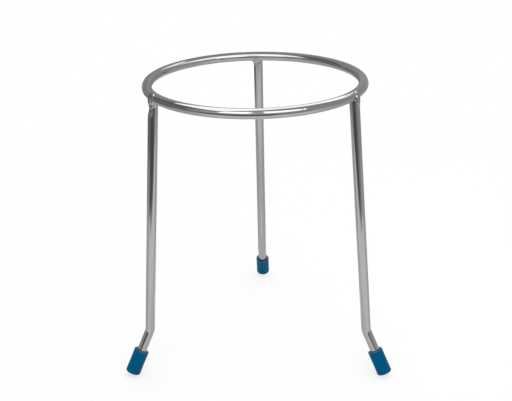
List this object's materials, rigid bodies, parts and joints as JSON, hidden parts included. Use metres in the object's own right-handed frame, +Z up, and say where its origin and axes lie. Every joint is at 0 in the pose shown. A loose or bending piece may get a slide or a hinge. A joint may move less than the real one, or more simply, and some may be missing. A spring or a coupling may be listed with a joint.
{
  "type": "lab tripod stand",
  "caption": "Ring of round steel rod on splayed rod legs with kicked-out ends in soft vinyl caps; stands on a bench and holds a vessel or a gauze over a burner.",
  "frame": {"origin": "on the ring's axis, at the level of the bench that the feet stand on", "axes": "+Z up along the ring's axis, +Y towards the rear leg, -Y the front, +X to the right leg's side"},
  "size_m": [0.1706, 0.1667, 0.184],
  "materials": {
    "rod_steel": "polished",
    "weld_steel": "gloss",
    "cap_vinyl": "satin"
  },
  "bodies": {
    "root": {"ring": "rod_steel", "leg_left": "rod_steel", "leg_right": "rod_steel", "leg_rear": "rod_steel", "weld_left": "weld_steel", "weld_right": "weld_steel", "weld_rear": "weld_steel", "foot_cap_left": "cap_vinyl", "foot_cap_right": "cap_vinyl", "foot_cap_rear": "cap_vinyl"}
  },
  "joints": []
}
